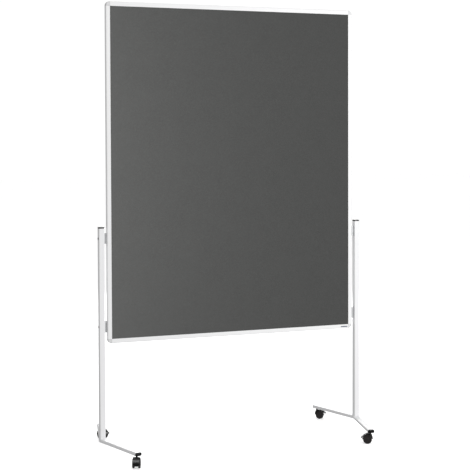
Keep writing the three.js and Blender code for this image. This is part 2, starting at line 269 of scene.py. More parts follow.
def held(bm, name):
    """The solid as a temporary object, for a modifier to work on."""
    bmesh.ops.recalc_face_normals(bm, faces=bm.faces)
    mesh = bpy.data.meshes.new(name)
    bm.to_mesh(mesh)
    bm.free()
    thing = bpy.data.objects.new(name, mesh)
    bpy.context.scene.collection.objects.link(thing)
    return thing


def result_of(thing):
    """The temporary object's mesh with its modifiers applied, as a solid again."""
    graph = bpy.context.evaluated_depsgraph_get()
    mesh = bpy.data.meshes.new_from_object(thing.evaluated_get(graph))
    bm = bmesh.new()
    bm.from_mesh(mesh)
    bpy.data.meshes.remove(mesh)
    bpy.data.meshes.remove(thing.data)
    return bm


def combined(operation, solid, *others):
    """The solid with the others cut from it or fused to it."""
    target = held(solid, "target")
    tools = [held(other, "tool") for other in others]
    for tool in tools:
        step = target.modifiers.new("step", "BOOLEAN")
        step.operation = operation
        step.solver = "EXACT"
        step.object = tool
    bm = result_of(target)
    for tool in tools:
        bpy.data.meshes.remove(tool.data)
    return bm


def moulded(solid, voxel, rounds, keep):
    """One skin over overlapping solids, with every edge eased as in an injection moulding."""
    thing = held(solid, "moulding")
    skin = thing.modifiers.new("skin", "REMESH")
    skin.mode = "VOXEL"
    skin.voxel_size = voxel
    ease = thing.modifiers.new("ease", "SMOOTH")
    ease.factor = 0.5
    ease.iterations = rounds
    thin = thing.modifiers.new("thin", "DECIMATE")
    thin.ratio = keep
    return result_of(thing)


def bevel(bm, width, steps=2):
    """Rounds the solid's sharp edges off."""
    limit = math.radians(60)
    bmesh.ops.remove_doubles(bm, verts=bm.verts, dist=SAME_POINT)
    bmesh.ops.recalc_face_normals(bm, faces=bm.faces)
    edges = [e for e in bm.edges if len(e.link_faces) == 2 and e.calc_face_angle() > limit]
    bmesh.ops.bevel(bm, geom=edges, offset=width, offset_type="OFFSET", segments=steps,
                    profile=0.5, affect="EDGES", clamp_overlap=True)
    return bm


def bead(path, outward, radius):
    """A weld bead along a closed path, with the ripples of the weld pool."""
    pitch = 1.9
    sides = 10
    rings = []
    walked = 0
    for i, (point, away) in enumerate(zip(path, outward)):
        walked += (point - path[i - 1]).length
        tangent = (path[(i + 1) % len(path)] - path[i - 1]).normalized()
        side = away.normalized()
        over = tangent.cross(side)
        swell = radius * (1 + 0.1 * math.sin(2 * math.pi * walked / pitch))
        swell *= 1 + 0.12 * noise.noise(point * 0.35)
        rings.append([
            point + swell * (side * math.cos(a) + over * math.sin(a))
            for a in (2 * math.pi * k / sides for k in range(sides))
        ])
    return stack(rings, closed=True)


def resampled(loop, spacing):
    """Evenly spaced points along a closed outline."""
    lengths = [(loop[i] - loop[i - 1]).length for i in range(len(loop))]
    total = sum(lengths)
    count = round(total / spacing)
    points = []
    i, start = 0, 0
    for k in range(count):
        at = total * k / count
        while start + lengths[i] < at:
            start += lengths[i]
            i += 1
        share = (at - start) / lengths[i]
        points.append(loop[i - 1].lerp(loop[i], share))
    return points


# ---- materials ------------------------------------------------------------------------------

class Paint:
    """A node material built around one Principled shader, with its patterns in metres."""

    def __init__(self, name, roughness, **fixed):
        self.material = bpy.data.materials.new(name)
        self.material.use_nodes = True
        self.tree = self.material.node_tree
        self.shader = self.tree.nodes["Principled BSDF"]
        self.place = self.node("ShaderNodeTexCoord").outputs["Object"]
        self.set(self.shader, "Roughness", roughness)
        for socket, value in fixed.items():
            self.set(self.shader, socket.replace("_", " "), value)

    def node(self, kind, **settings):
        made = self.tree.nodes.new(kind)
        for setting, value in settings.items():
            setattr(made, setting, value)
        return made

    def set(self, node, socket, value):
        if isinstance(value, bpy.types.NodeSocket):
            self.tree.links.new(value, node.inputs[socket])
        else:
            node.inputs[socket].default_value = value

    def noise(self, size, detail=2, roughness=0.5, stretch=None):
        """Noise whose largest features are about size metres across."""
        made = self.node("ShaderNodeTexNoise")
        self.set(made, "Vector", self.place if stretch is None else self.stretched(stretch))
        self.set(made, "Scale", 1 / size)
        self.set(made, "Detail", detail)
        self.set(made, "Roughness", roughness)
        return made.outputs["Fac"]

    def stretched(self, scale):
        made = self.node("ShaderNodeMapping")
        self.set(made, "Vector", self.place)
        self.set(made, "Scale", scale)
        return made.outputs["Vector"]

    def between(self, pattern, low, high, edges=(0.3, 0.7)):
        """The pattern's values from one edge to the other, mapped to run from low to high."""
        made = self.node("ShaderNodeMapRange")
        self.set(made, "Value", pattern)
        limits = {"From Min": edges[0], "From Max": edges[1], "To Min": low, "To Max": high}
        for socket, value in limits.items():
            self.set(made, socket, value)
        return made.outputs["Result"]

    def blend(self, share, one, other):
        made = self.node("ShaderNodeMix", data_type="RGBA")
        self.tree.links.new(share, made.inputs[0])
        for index, colour in ((6, one), (7, other)):
            if isinstance(colour, bpy.types.NodeSocket):
                self.tree.links.new(colour, made.inputs[index])
            else:
                made.inputs[index].default_value = (*colour, 1)
        return made.outputs[2]

    def added(self, one, other, share=0.5):
        """A weighted sum of two patterns."""
        made = self.node("ShaderNodeMix", data_type="FLOAT")
        made.inputs[0].default_value = share
        self.tree.links.new(one, made.inputs[2])
        self.tree.links.new(other, made.inputs[3])
        return made.outputs[0]

    def colour(self, value):
        self.set(self.shader, "Base Color", value)

    def rough(self, pattern, low, high):
        self.set(self.shader, "Roughness", self.between(pattern, low, high))

    def bump(self, pattern, depth, strength=1.0):
        made = self.node("ShaderNodeBump")
        self.set(made, "Height", pattern)
        self.set(made, "Distance", depth)
        self.set(made, "Strength", strength)
        self.set(self.shader, "Normal", made.outputs["Normal"])


def grey(value, tint=(1, 1, 1)):
    return tuple(value * t for t in tint)


def powder_coat(name, value, tint):
    """Stove-baked powder paint: fine orange peel, hardly any variation in colour, light scuffs."""
    paint = Paint(name, 0.4, Specular_IOR_Level=0.45)
    cloud = paint.noise(0.35, 3)
    scuff = paint.noise(0.02, 5, 0.7, stretch=(1, 1, 0.25))
    base = paint.blend(paint.between(cloud, 0, 1), grey(value, tint), grey(value * 0.965, tint))
    worn = paint.between(scuff, 0, 0.35, edges=(0.66, 0.8))
    paint.colour(paint.blend(worn, base, grey(value * 0.88, tint)))
    paint.rough(paint.noise(0.03, 4), 0.34, 0.46)
    paint.bump(paint.noise(0.0016, 2), 0.00005, 0.7)
    return paint.material


def moulded_plastic(name, value, tint, rough, shine=0.5, depth=0.00004):
    """Injection-moulded plastic with an eroded texture and faint flow marks."""
    paint = Paint(name, rough, Specular_IOR_Level=shine)
    flow = paint.noise(0.012, 3, 0.6, stretch=(1, 1, 0.4))
    dust = paint.noise(0.004, 5, 0.75)
    base = paint.blend(paint.between(flow, 0, 1), grey(value, tint), grey(value * 1.25, tint))
    dusty = paint.between(dust, 0, 0.5, edges=(0.58, 0.85))
    paint.colour(paint.blend(dusty, base, grey(value * 1.6 + 0.002, tint)))
    paint.rough(paint.noise(0.006, 3), rough - 0.06, rough + 0.08)
    paint.bump(paint.noise(0.0005, 2), depth, 0.6)
    return paint.material


def needle_felt():
    """Matted grey fibres: a salt-and-pepper mix of light and dark hairs over soft clouds."""
    paint = Paint("needle_felt", 0.95, Specular_IOR_Level=0.12, Sheen_Weight=0.18,
                  Sheen_Roughness=0.55)
    hairs = [
        paint.noise(0.0034, 3, 0.65, stretch=stretch)
        for stretch in ((1, 1, 4.5), (4.5, 1, 1), (2.6, 2.6, 1))
    ]
    mat = paint.added(paint.added(hairs[0], hairs[1]), hairs[2], 0.35)
    tuft = paint.noise(0.011, 4, 0.6)
    cloud = paint.noise(0.09, 3, 0.55)
    fibres = paint.blend(paint.between(mat, 0, 1, edges=(0.38, 0.62)),
                         (0.028, 0.0285, 0.0278), (0.069, 0.070, 0.068))
    tufted = paint.blend(paint.between(tuft, 0, 0.35), fibres, (0.037, 0.0375, 0.0368))
    paint.colour(paint.blend(paint.between(cloud, 0, 0.22), tufted, (0.056, 0.057, 0.0556)))
    paint.bump(paint.added(mat, tuft, 0.3), 0.0007, 0.8)
    return paint.material


def fibre_board():
    paint = Paint("fibre_board", 0.9, Specular_IOR_Level=0.2)
    chips = paint.noise(0.003, 5, 0.7, stretch=(0.4, 1, 1))
    paint.colour(paint.blend(paint.between(chips, 0, 1), (0.30, 0.22, 0.13), (0.44, 0.35, 0.23)))
    paint.bump(chips, 0.0003)
    return paint.material


def plated(name, value, rough):
    """Zinc-plated steel, with the plating's fine crystalline mottle."""
    paint = Paint(name, rough, Metallic=1.0)
    crystals = paint.noise(0.0009, 4, 0.7)
    paint.colour(paint.blend(paint.between(crystals, 0, 1), grey(value), grey(value * 0.85)))
    paint.rough(crystals, rough - 0.06, rough + 0.1)
    paint.bump(crystals, 0.00002, 0.5)
    return paint.material


def silver_paint():
    """Silver-grey paint with metal flake, over the slightly rough cast brackets."""
    paint = Paint("bracket_paint", 0.42, Metallic=0.25)
    flake = paint.noise(0.0007, 3, 0.7)
    cast = paint.noise(0.006, 3)
    base = paint.blend(paint.between(flake, 0, 1), (0.47, 0.475, 0.485), (0.56, 0.565, 0.575))
    paint.colour(paint.blend(paint.between(cast, 0, 0.3), base, (0.44, 0.445, 0.45)))
    paint.rough(cast, 0.36, 0.5)
    paint.bump(paint.added(flake, cast, 0.6), 0.00012, 0.6)
    return paint.material


def label_film():
    """A blank printed film, with the fine mottle of its ink."""
    paint = Paint("label_film", 0.32, Specular_IOR_Level=0.5)
    ink = paint.noise(0.0008, 4, 0.7)
    mottle = paint.between(ink, 0, 1)
    paint.colour(paint.blend(mottle, (0.055, 0.070, 0.115), (0.085, 0.100, 0.150)))
    paint.rough(paint.noise(0.01, 2), 0.28, 0.4)
    paint.bump(ink, 0.00001, 0.4)
    return paint.material


FRAME_PAINT = powder_coat("frame_paint", 0.85, (1, 1, 1.005))
STAND_PAINT = powder_coat("stand_paint", 0.84, (1, 1, 1.01))
CORNER_PLASTIC = moulded_plastic("corner_plastic", 0.60, (1, 1, 1.01), 0.45)
BLACK_PLASTIC = moulded_plastic("black_plastic", 0.004, (1, 1, 1.02), 0.42, 0.3)
CASTER_PLASTIC = moulded_plastic("caster_plastic", 0.005, (1, 1, 1.03), 0.22, depth=0.00001)
WHEEL_PLASTIC = moulded_plastic("wheel_plastic", 0.019, (1.1, 0.97, 0.97), 0.4, 0.35)
FELT = needle_felt()
BRACKET_PAINT = silver_paint()
STEEL = plated("zinc_steel", 0.62, 0.34)
BLACKENED = plated("blackened_steel", 0.02, 0.4)
LABEL_FILM = label_film()


# ---- placing --------------------------------------------------------------------------------

def axes(origin, x, y, z):
    """Where a shape drawn in millimetres goes: its axes, and its origin in metres."""
    turn = Matrix((x, y, z)).transposed().to_4x4()
    return Matrix.Translation(origin) @ turn @ Matrix.Scale(MM, 4)


def piece(name, bm, place, material, body, smooth=38):
    """Puts a solid where it goes, as a piece that stands for the CAD node of the same name.

    Edges sharper than smooth, in degrees, show as edges.
    """
    bmesh.ops.remove_doubles(bm, verts=bm.verts, dist=SAME_POINT)
    bmesh.ops.transform(bm, matrix=place, verts=bm.verts)
    bmesh.ops.recalc_face_normals(bm, faces=bm.faces)
    mesh = bpy.data.meshes.new(name)
    bm.to_mesh(mesh)
    bm.free()
    mesh.shade_smooth()
    mesh.set_sharp_from_angle(angle=math.radians(smooth))
    mesh.materials.append(material)
    made = bpy.data.objects.new(f"{name}_piece", mesh)
    bpy.context.scene.collection.objects.link(made)
    weigh = made.modifiers.new("even_normals", "WEIGHTED_NORMAL")
    weigh.keep_sharp = True
    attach(made, body)
    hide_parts(name)
    return made


def middle(node):
    low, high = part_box(node)
    return (low + high) / 2


def joint(name):
    return next(j for j in frame["joints"] if j["name"] == name)


def bolt_drill(low, high, steps=24):
    """What is cut away for a bolt, along X."""
    return along_x(prism([circle(BOLT_HOLE, steps)], low, high))


# ---- board ----------------------------------------------------------------------------------

def rail_outline():
    """X runs in from the frame's outer edge, and Y through its depth."""
    half = RAIL_HALF_DEPTH
    points = [
        (0, -half), (RAIL_FACE, -half), (RAIL_FACE, -half + LIP), (CHANNEL_FLOOR, -half + LIP),
        (CHANNEL_FLOOR, half - LIP), (RAIL_FACE, half - LIP), (RAIL_FACE, half), (0, half),
    ]
    edge = RAIL_EDGE_RADIUS
    return fillet(points, [edge, 0.45, 0.3, 0.3, 0.3, 0.3, 0.45, edge], 8)


def rail_chamber():
    low, high = RAIL_WALL, CHANNEL_FLOOR - 2
    half = RAIL_HALF_DEPTH - RAIL_WALL
    return fillet([(low, -half), (high, -half), (high, half), (low, half)], [0.6] * 4, 3)


def add_rail(name, inward, bolt_heights=()):
    low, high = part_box(name)
    along = inward.cross(DEPTH)
    length = abs((high - low).dot(along)) / MM
    solid = prism([rail_outline(), rail_chamber()], -length / 2, length / 2)
    centre = (low + high) / 2
    if bolt_heights:
        drills = [
            moved(bolt_drill(-1, RAIL_WALL + 1, 20), 0, 0, (height - centre.z) / MM * along.z)
            for height in bolt_heights
        ]
        solid = combined("DIFFERENCE", solid, *drills)
    outer = centre - inward * RAIL_FACE / 2 * MM
    place = axes(outer, inward, DEPTH, along)
    piece(name, bevel(solid, 0.25), place, FRAME_PAINT, FIXED)


def corner_solid():
    """The corner's outer point is the origin. Its two ends meet the rails at X = 20 and Z = 20."""
    half = RAIL_HALF_DEPTH
    edge = RAIL_EDGE_RADIUS
    reach = RAIL_FACE
    pocket = RAIL_FACE - CHANNEL_FLOOR
    points = [(0, -half), (reach, -half), (reach, half), (0, half)]
    outline = [(p.x, p.y, False) for p in fillet(points, [edge, 0, 0, edge], 8)]
    front = outline.index((reach, -half, False)) + 1
    outline[front:front] = [
        (reach, -half + LIP, False), (CHANNEL_FLOOR, -half + LIP, True),
        (CHANNEL_FLOOR, half - LIP, True), (reach, half - LIP, False),
    ]
    rings = []
    stations = 18
    for s in range(stations + 1):
        x, z = on_circle(-90 - 90 * s / stations)
        square = pocket / max(abs(x), abs(z))
        ring = []
        for u, v, in_pocket in outline:
            radius = square if in_pocket else reach - u
            ring.append(Vector((reach + x * radius, v, reach + z * radius)))
        rings.append(ring)
    body = stack(rings)
    bmesh.ops.remove_doubles(body, verts=body.verts, dist=SAME_POINT)
    near, far = RAIL_WALL + 0.6, CHANNEL_FLOOR - 2.6
    deep = half - RAIL_WALL - 0.6
    section = fillet([(near, -deep), (far, -deep), (far, deep), (near, deep)], [0.8] * 4, 3)
    stops = (reach - 1, reach + TONGUE_LENGTH - 1, reach + TONGUE_LENGTH)
    level = [[Vector((stop, v, u)) for u, v in section] for stop in stops]
    upright = [[Vector((u, v, stop)) for u, v in section] for stop in stops]
    for tongue in (level, upright):
        centre = sum(tongue[-1], Vector()) / len(section)
        tongue[-1] = [centre + (p - centre) * 0.86 for p in tongue[-1]]
    return combined("UNION", body, stack(level), stack(upright))


def add_corner(name, turn, outer):
    place = Matrix.Translation(outer) @ Matrix.Rotation(math.radians(turn), 4, "Y")
    place @= Matrix.Scale(MM, 4)
    piece(name, corner_solid(), place, CORNER_PLASTIC, FIXED)


def felt_lines(length, cells):
    """Where the sheet's grid lines lie along one side, close together at the pressed border."""
    edge = [0, FELT_BORDER - FELT_STEP * 1.5, FELT_BORDER - FELT_STEP,
            FELT_BORDER - FELT_STEP / 2, FELT_BORDER - 0.2, FELT_BORDER + 0.8, FELT_BORDER + 3]
    inner = length - 2 * edge[-1]
    lines = [at - length / 2 for at in edge[:-1]]
    lines += [-inner / 2 + inner * i / cells for i in range(cells + 1)]
    return lines + [-at for at in reversed(lines[:len(edge) - 1])]


def rim(grid):
    """The grid's outermost points, in order."""
    right = [row[-1] for row in grid[1:]]
    left = [row[0] for row in grid[-2:0:-1]]
    return grid[0] + right + grid[-1][-2::-1] + left


def felt_sheet(width, height, seed):
    """A stretched sheet, front towards -Y, with the shallow unevenness of felt over a board."""
    bm = bmesh.new()
    columns, rows = felt_lines(width, FELT_CELLS[0]), felt_lines(height, FELT_CELLS[1])
    face = -FELT_THICKNESS / 2
    sides = []
    for front in (True, False):
        grid = []
        for z in rows:
            row = []
            for x in columns:
                y = -face
                if front:
                    inset = min(width / 2 - abs(x), height / 2 - abs(z))
                    wave = noise.noise(Vector((x / FELT_WAVE[0], z / FELT_WAVE[1], seed)))
                    ripple = noise.noise(Vector((x / FELT_RIPPLE, z / FELT_RIPPLE, seed + 7)))
                    wave += 0.5 * ripple
                    fade = min(1, max(0, inset - FELT_BORDER) / FELT_FADE)
                    pressed = FELT_PRESSED * min(1, max(0, FELT_BORDER - inset) / FELT_STEP)
                    y = face + pressed + fade * FELT_UNEVENNESS * (wave + 1)
                row.append(bm.verts.new((x, y, z)))
            grid.append(row)
        for low, high in zip(grid, grid[1:]):
            for i in range(len(low) - 1):
                bm.faces.new((low[i], low[i + 1], high[i + 1], high[i]))
        sides.append(grid)
    bridge(bm, *(rim(grid) for grid in sides))
    return bm


def add_felt(name, facing):
    low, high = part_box(name)
    width, height = (high.x - low.x) / MM, (high.z - low.z) / MM
    place = axes((low + high) / 2, DEPTH.cross(UP) * facing, DEPTH * facing, UP)
    felt = piece(name, felt_sheet(width, height, facing), place, FELT, FIXED)
    return felt


def add_label():
    low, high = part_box("blank_label")
    size = (high - low) / MM
    outline = rounded_rectangle(size.x, size.z, 0.9, 5)
    film = bevel(across([outline], size.y), 0.08)
    place = axes((low + high) / 2, ACROSS, DEPTH, UP)
    piece("blank_label", film, place, LABEL_FILM, FIXED)


def add_board():
    low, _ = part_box("bottom_left_corner")
    _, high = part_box("top_right_corner")
    bolts = [middle(f"{level}_left_bracket").z for level in ("upper", "lower")]
    add_rail("bottom_rail", UP)
    add_rail("top_rail", -UP)
    add_rail("left_rail", ACROSS, bolts)
    add_rail("right_rail", -ACROSS, bolts)
    centre_y = middle("core_panel").y
    add_corner("bottom_left_corner", 0, (low.x, centre_y, low.z))
    add_corner("top_left_corner", 90, (low.x, centre_y, high.z))
    add_corner("top_right_corner", 180, (high.x, centre_y, high.z))
    add_corner("bottom_right_corner", -90, (high.x, centre_y, low.z))
    felts = [add_felt("front_felt", 1), add_felt("rear_felt", -1)]
    add_label()
    frame["nodes"]["core_panel"].data.materials.clear()
    frame["nodes"]["core_panel"].data.materials.append(fibre_board())
    return felts


# ---- stands ---------------------------------------------------------------------------------

def add_post(side):
    name = f"{side}_post"
    low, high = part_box(name)
    centre = middle(name)
    length = (high.z - low.z) / MM
    outer = rounded_rectangle(POST_SIZE, POST_SIZE, POST_EDGE_RADIUS, 8)
    inner_size = POST_SIZE - 2 * POST_WALL
    inner = rounded_rectangle(inner_size, inner_size, 0.8, 8)
    tube = prism([outer, inner], 0, length)
    drills = []
    for level in ("upper", "lower"):
        height = (middle(f"{level}_{side}_bracket").z - low.z) / MM
        drills.append(moved(bolt_drill(-POST_SIZE, POST_SIZE), 0, 0, height))
    tube = bevel(combined("DIFFERENCE", tube, *drills), 0.3)
    foot = [Vector((p.x, p.y, 0.4)) for p in resampled(outer, 0.7)]
    weld = bead(foot, [Vector((p.x, p.y, 0)) for p in foot], POST_BEAD)
    place = axes((centre.x, centre.y, low.z), ACROSS, DEPTH, UP)
    piece(name, together(tube, weld), place, STAND_PAINT, FIXED)


def add_post_cap(name):
    """A lid with an eased rim and a shallow dome, over a plug with gripping ribs."""
    _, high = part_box(name)
    centre = middle(name)
    plug = POST_SIZE - 2 * POST_WALL - PLUG_PLAY
    tip = -POST_CAP_DEPTH
    levels = [(tip, plug - 2.4, 1), (tip + 1.5, plug - 0.8, 1.4)]
    for rib in range(4):
        z = tip + 2.4 + rib * 2.6
        levels += [(z, plug - 0.8, 1.4), (z + 0.5, plug, 1.6), (z + 0.9, plug, 1.6),
                   (z + 1.4, plug - 0.8, 1.4)]
    levels += [(-POST_CAP_LID, plug - 0.8, 1.4), (-POST_CAP_LID, POST_SIZE - 0.6, 2.2),
               (-POST_CAP_LID + 0.3, POST_SIZE, POST_EDGE_RADIUS),
               (-1.9, POST_SIZE, POST_EDGE_RADIUS), (-1.3, POST_SIZE - 0.25, 2.45),
               (-0.85, POST_SIZE - 0.9, 2.3), (-0.6, POST_SIZE - 2.0, 2.2),
               (-0.32, POST_SIZE - 6, 2), (-0.1, POST_SIZE - 12, 1.6), (0, POST_SIZE - 19, 1)]
    rings = [
        [Vector((p.x, p.y, z)) for p in rounded_rectangle(size, size, radius, 6)]
        for z, size, radius in levels
    ]
    place = axes((centre.x, centre.y, high.z), ACROSS, DEPTH, UP)
    piece(name, stack(rings), place, BLACK_PLASTIC, FIXED)


def outer_end(name, toward_frame):
    """The middle of the node's end away from the frame, and the node's length in X and in Z."""
    low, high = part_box(name)
    start = (low + high) / 2
    start.x = low.x if toward_frame > 0 else high.x
    return start, (high.x - low.x) / MM, (high.z - low.z) / MM


def add_bracket(name, toward_frame):
    """A cast T: the web stands on the post, and the flange lies against the frame's side."""
    start, width, height = outer_end(name, toward_frame)
    thick, half = BRACKET_FLANGE
    web, step = BRACKET_WEB, width - thick
    points = [(0, -web), (step, -web), (step, -half), (width, -half),
              (width, half), (step, half), (step, web), (0, web)]
    section = fillet(points, [0.5, 1.6, 0.9, 0.4, 0.4, 0.9, 1.6, 0.5], 5)
    body = bevel(prism([section], -height / 2, height / 2), 0.8, steps=3)
    body = combined("DIFFERENCE", body, bolt_drill(-1, width + 1))
    place = axes(start, ACROSS * toward_frame, DEPTH * toward_frame, UP)
    piece(name, body, place, BRACKET_PAINT, FIXED)


def bolt_solid(length):
    """A button head with a hexagon socket. The head is at the bottom, and Z runs to the tip."""
    steps = 48
    hexagon = []
    for i in range(steps):
        angle = 2 * math.pi * i / steps
        off = (angle + math.pi / 6) % (math.pi / 3) - math.pi / 6
        hexagon.append(Vector((math.cos(angle), math.sin(angle))) / math.cos(off))
    round_loop = circle(1, steps)
    head, depth = BOLT_HEAD, BOLT_HEAD_HEIGHT
    socket = [(SOCKET_RADIUS * 0.5, 1.75), (SOCKET_RADIUS, 1.45), (SOCKET_RADIUS, 0.25)]
    dome = [(2.95, 0), (3.3, 0.02), (4.2, 0.28), (4.9, 0.72), (5.35, 1.3), (head, 1.85),
            (head, depth - 0.15), (head - 0.15, depth)]
    shank = [(BOLT_SHANK + 0.25, depth), (BOLT_SHANK, depth + 0.25)]
    pitch = 1
    thread = length - BOLT_THREAD
    while thread < length - 1.6:
        shank += [(BOLT_SHANK, thread), (BOLT_SHANK - 0.45, thread + pitch / 2)]
        thread += pitch
    shank += [(BOLT_SHANK, length - 1.2), (BOLT_SHANK - 0.9, length)]
    rings = [[Vector((p.x * r, p.y * r, z)) for p in hexagon] for r, z in socket]
    rings += [[Vector((p.x * r, p.y * r, z)) for p in round_loop] for r, z in dome + shank]
    return stack(rings)


def add_bolt(name, toward_frame):
    start, length, _ = outer_end(name, toward_frame)
    place = axes(start, DEPTH, UP * toward_frame, ACROSS * toward_frame)
    piece(name, bolt_solid(length), place, STEEL, FIXED, smooth=30)


def leg_axes(name):
    """Where the leg starts on the post's axis, its level direction, and how far its stem is."""
    side = name.split("_")[1]
    post = middle(f"{side}_post")
    stem = middle(f"{name}_stem")
    start = Vector((post.x, post.y, middle(f"{name}_leg").z))
    direction = Vector((stem.x - post.x, stem.y - post.y, 0))
    return start, direction.normalized(), direction.length / MM


def stem_drill(to_stem, height):
    """What is cut away for the stem, up to a height above the leg's underside."""
    low = -LEG_SIZE[1] / 2
    return moved(rod(STEM_RADIUS + BORE_PLAY, low - 1, low + height, 32), to_stem, 0, 0)


def add_leg(name):
    start, direction, to_stem = leg_axes(name)
    length = to_stem + LEG_TUBE_PAST_STEM
    slope = -direction.x / direction.y
    outer = rounded_rectangle(*LEG_SIZE, LEG_EDGE_RADIUS, 8)
    inner = rounded_rectangle(LEG_SIZE[0] - 2 * LEG_WALL, LEG_SIZE[1] - 2 * LEG_WALL,
                              LEG_EDGE_RADIUS - LEG_WALL, 8)
    tube = along_x(prism([outer, inner], 0, 1))
    for vertex in tube.verts:
        # The near end is cut on the mitre between the two legs, and the far end square.
        near = vertex.co.x < 0.5
        vertex.co.x = 0.15 + vertex.co.y * slope if near else length
    solid = bevel(combined("DIFFERENCE", tube, stem_drill(to_stem, LEG_WALL + 1)), 0.25)
    if direction.y < 0:
        # The front leg carries the weld, sunk a little into both legs.
        joint_line = rounded_rectangle(LEG_SIZE[0] - 2.9, LEG_SIZE[1] - 1.5,
                                       LEG_EDGE_RADIUS - 0.8, 8)
        ring = [Vector((0.1 + p.x * slope, p.x, p.y)) for p in resampled(joint_line, 0.75)]
        away = [Vector((0, p.y, p.z)) for p in ring]
        solid = together(solid, bead(ring, away, LEG_BEAD))
    place = axes(start, direction, UP.cross(direction), UP)
    piece(f"{name}_leg", solid, place, STAND_PAINT, FIXED)


def add_leg_cap(name):
    """A moulded cap, domed and eased at its rim, on a ribbed plug inside the tube."""
    start, direction, to_stem = leg_axes(name)
    width, height = LEG_SIZE
    face = to_stem + LEG_TUBE_PAST_STEM + 0.3
    tip = to_stem + LEG_CAP_PAST_STEM
    inside = face - LEG_CAP_PLUG
    ribbed = (width - 2 * LEG_WALL - PLUG_PLAY, height - 2 * LEG_WALL - PLUG_PLAY)
    plain = (ribbed[0] - 0.6, ribbed[1] - 0.6)
    sections = [(inside, ribbed[0] - 2, ribbed[1] - 2), (inside + 1.5, *plain)]
    for rib in range(7):
        x = inside + 3 + rib * 3.2
        sections += [(x, *plain), (x + 0.5, *ribbed), (x + 1.1, *ribbed), (x + 1.6, *plain)]
    sections += [(face, *plain), (face, width - 0.7, height - 0.7), (face + 0.35, width, height)]
    edge = LEG_CAP_EDGE - LEG_CAP_DOME
    steps = 8
    for step in range(steps + 1):
        level, out = on_circle(90 * step / steps, edge)
        pulled_in = 2 * (edge - level)
        sections.append((tip - LEG_CAP_EDGE + out, width - pulled_in, height - pulled_in))
    for share in (0.8, 0.6, 0.4, 0.2):
        flat = (width - 2 * edge) * share
        sections.append((tip - LEG_CAP_DOME * share ** 2, flat, (height - 2 * edge) * share))
    rings = []
    for x, across_width, tall in sections:
        radius = min(LEG_EDGE_RADIUS, tall / 2 - 0.2, across_width / 2 - 0.2)
        if x < face:
            radius = LEG_EDGE_RADIUS - LEG_WALL - 0.3
        loop = rounded_rectangle(across_width, tall, radius, 8)
        rings.append([Vector((x, p.x, p.y)) for p in loop])
    solid = combined("DIFFERENCE", stack(rings), stem_drill(to_stem, STEM_BORE_IN_CAP))
    place = axes(start, direction, UP.cross(direction), UP)
    piece(f"{name}_leg_cap", solid, place, BLACK_PLASTIC, FIXED, smooth=42)


def add_stands():
    for side, toward_frame in (("left", 1), ("right", -1)):
        add_post(side)
        add_post_cap(f"{side}_post_cap")
        for level in ("upper", "lower"):
            add_bracket(f"{level}_{side}_bracket", toward_frame)
            add_bolt(f"{level}_{side}_bolt", toward_frame)


# ---- casters --------------------------------------------------------------------------------

def hood_band(start, end, stations):
    """Part of the hood over both wheels, from one angle to another about the axle."""
    half, edge = HOOD_WIDTH / 2, HOOD_EDGE
    outer = [
        Vector((half - edge, HOOD_RADIUS - edge)) + on_circle(angle, edge)
        for angle in range(0, 91, 18)
    ]
    lift = UP * HOOD_LIFT
    rings = []
    for s in range(stations + 1):
        x, z = on_circle(start + (end - start) * s / stations)
        out = Vector((x, 0, z))
        ring = [Vector((0, half, 0)) + out * FENDER_INNER]
        ring += [Vector((0, y, 0)) + lift + out * r for y, r in outer]
        ring += [Vector((0, -y, 0)) + lift + out * r for y, r in reversed(outer)]
        ring.append(Vector((0, -half, 0)) + out * FENDER_INNER)
        rings.append(ring)
    return stack(rings)


def sector(start, end, radius, width, steps=16):
    """A pie slice, pointed at the axle and round about the hood's centre."""
    centre = Vector((0, HOOD_LIFT))
    loop = [Vector((0, 0))]
    for s in range(steps + 1):
        loop.append(centre + on_circle(start + (end - start) * s / steps, radius))
    return across([loop], width)


def housing_solid():
    """Hood, core and collar fused, with the pedal's slot, the stem's socket and the axle's bore.

    The core is a disc between the wheels, cut flat below.
    """
    disc = [on_circle(angle, WHEEL_RADIUS) for angle in range(CORE_SPAN[0], CORE_SPAN[1] + 1, 5)]
    webs = HOOD_RADIUS - 0.6
    collar = [(0, 9.8), (7.6, 9.8), (7.4, 14.8), (6.5, 21.4), (6.1, 23.4), (0, 23.4)]
    body = together(
        across([disc], CORE_WIDTH),
        sector(*HOOD_SPAN, webs, CORE_WIDTH),
        sector(*FRONT_LIP_SPAN, webs, CORE_WIDTH, 4),
        hood_band(*HOOD_SPAN, 40),
        hood_band(*FRONT_LIP_SPAN, 6),
        moved(lathe(collar, 40), -TRAIL, 0, 0),
    )
    slot = fillet([(6.6, 8.6), (15.4, 8.6), (22.5, 23), (9.9, 23.4)], [2.5, 2.5, 0, 0], 6)
    cut = combined(
        "DIFFERENCE", moulded(body, voxel=0.42, rounds=5, keep=0.35),
        across([slot], PEDAL_SLOT_WIDTH),
        moved(rod(STEM_RADIUS + BORE_PLAY, *STEM_SOCKET, 32), -TRAIL, 0, 0),
        turned(rod(AXLE_RADIUS + BORE_PLAY, -10, 10, 24), 90, "X"),
    )
    pivot_x, pivot_z = PEDAL_PIVOT
    half_pin = PEDAL_SLOT_WIDTH / 2 + 0.8
    pin = moved(turned(rod(PEDAL_PIN, -half_pin, half_pin, 20), 90, "X"), pivot_x, 0, pivot_z)
    return together(cut, pin)


